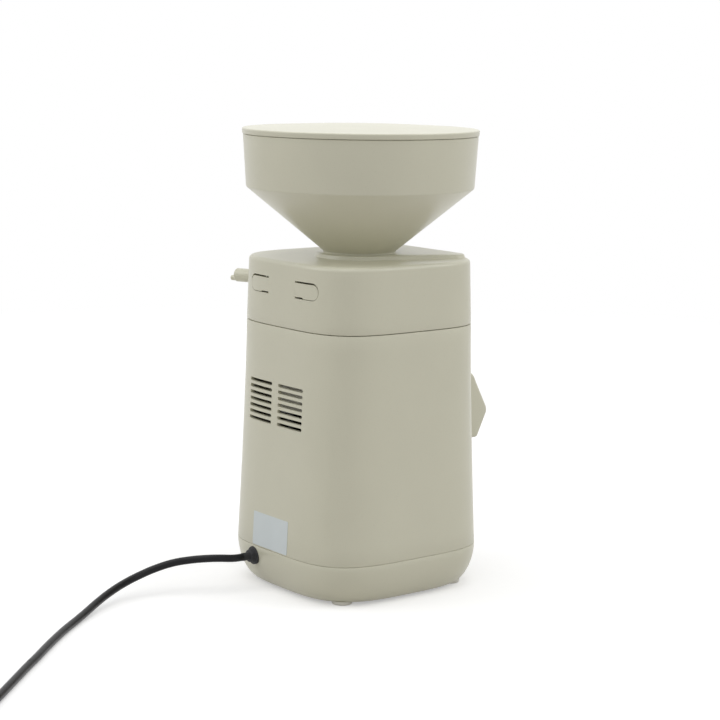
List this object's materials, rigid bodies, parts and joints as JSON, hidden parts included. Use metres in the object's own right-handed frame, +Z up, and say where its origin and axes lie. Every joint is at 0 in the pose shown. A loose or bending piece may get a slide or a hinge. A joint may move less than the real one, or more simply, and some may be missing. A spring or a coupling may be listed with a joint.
{
  "type": "electric grain mill",
  "caption": "Household electric grain mill with a round lidded hopper, a stone milling set in a rounded square housing, a fineness lever, a flour spout and a mains cord.",
  "frame": {"origin": "on the floor under the feet, in the middle of the object's footprint without its cord", "axes": "+Z up along the mill's axis, -Y towards the flour spout, +Y towards the vents and the cord, +X towards the fineness lever"},
  "size_m": [0.335, 0.6261, 0.3637],
  "materials": {
    "ivory_plastic": "satin, finely flecked",
    "inner_plastic": "plain moulded",
    "foot_plastic": "soft, milky",
    "plate_film": "matt printed film, left blank",
    "black_rubber": "matt",
    "black_plastic": "fine satin",
    "cord_sheath": "smooth satin",
    "bright_steel": "turned and zinc plated",
    "cast_alloy": "cast, matt",
    "lamination_steel": "stacked sheet",
    "copper": "enamelled wire and bars",
    "carbon": "pressed carbon",
    "milling_stone": "corundum and ceramic, coarse",
    "felt": "pressed felt"
  },
  "bodies": {
    "base": {"base_shell": "ivory_plastic", "feet": "foot_plastic", "base_screws": "bright_steel", "main_housing": "ivory_plastic", "rating_plate": "plate_film", "flour_spout": "ivory_plastic", "milling_chamber": "inner_plastic", "chamber_seal": "felt", "chamber_screws": "bright_steel", "shaft_seal": "black_rubber", "stator_core": "lamination_steel", "field_coils": "copper", "upper_bracket": "cast_alloy", "lower_bracket": "cast_alloy", "upper_bearing": "bright_steel", "lower_bearing": "bright_steel", "brush_holders": "black_plastic", "carbon_brushes": "carbon", "motor_screws": "bright_steel", "motor_mounts": "black_rubber", "thermal_cutout": "black_plastic", "switch_body": "black_plastic", "terminal_block": "inner_plastic", "internal_wiring": "cord_sheath", "cord_clamp": "inner_plastic", "clamp_screws": "bright_steel", "cord_gland": "black_rubber", "mains_cord": "cord_sheath", "cord_coil": "cord_sheath", "cord_tie": "black_rubber", "mains_plug": "black_rubber"},
    "rotor": {"motor_shaft": "bright_steel", "armature_core": "lamination_steel", "armature_winding": "copper", "commutator": "copper", "cooling_fan": "black_plastic", "stone_driver": "inner_plastic", "lower_stone": "milling_stone", "drive_nut": "bright_steel"},
    "top": {"upper_housing": "ivory_plastic", "adjuster_housing": "inner_plastic", "adjuster_screws": "bright_steel"},
    "adjuster": {"adjusting_ring": "inner_plastic", "adjusting_lever": "ivory_plastic"},
    "carrier": {"stone_carrier": "inner_plastic", "upper_stone": "milling_stone"},
    "latch_left": {"latch_tongue_left": "ivory_plastic"},
    "latch_right": {"latch_tongue_right": "ivory_plastic"},
    "hopper": {"hopper": "ivory_plastic"},
    "lid": {"hopper_lid": "ivory_plastic"},
    "rocker": {"switch_rocker": "black_plastic"}
  },
  "joints": [
    {"name": "rotor_spin", "type": "hinge", "parent": "base", "child": "rotor", "pos_m": [-0.00936, 0.0102, 0.1], "axis": [0, 0, 1], "continuous": true},
    {"name": "top_lift", "type": "slide", "parent": "base", "child": "top", "axis": [0, 0, 1], "range_m": [0, 0.06]},
    {"name": "adjuster_turn", "type": "hinge", "parent": "top", "child": "adjuster", "pos_m": [-0.00936, 0.0102, 0.238], "axis": [0, 0, 1], "range_deg": [-57, 0]},
    {"name": "stone_rise", "type": "slide", "parent": "adjuster", "child": "carrier", "axis": [0, 0, 1], "range_m": [0, 0.0008]},
    {"name": "latch_left_press", "type": "hinge", "parent": "top", "child": "latch_left", "pos_m": [0.00834, 0.08344, 0.241], "axis": [0, 0, 1], "range_deg": [-5, 0], "stiffness_Nm_per_rad": 0.8},
    {"name": "latch_right_press", "type": "hinge", "parent": "top", "child": "latch_right", "pos_m": [-0.02706, 0.08344, 0.241], "axis": [0, 0, 1], "range_deg": [0, 5], "stiffness_Nm_per_rad": 0.8},
    {"name": "hopper_lift", "type": "slide", "parent": "top", "child": "hopper", "axis": [0, 0, 1], "range_m": [0, 0.04]},
    {"name": "lid_lift", "type": "slide", "parent": "hopper", "child": "lid", "axis": [0, 0, 1], "range_m": [0, 0.05]},
    {"name": "switch_rock", "type": "hinge", "parent": "base", "child": "rocker", "pos_m": [0.06685, 0.0102, 0.075], "axis": [0, 1, 0], "range_deg": [0, 14]}
  ],
  "couplings": [
    {"joint": "stone_rise", "follows": "adjuster_turn", "m_per_rad": -0.00063662}
  ]
}
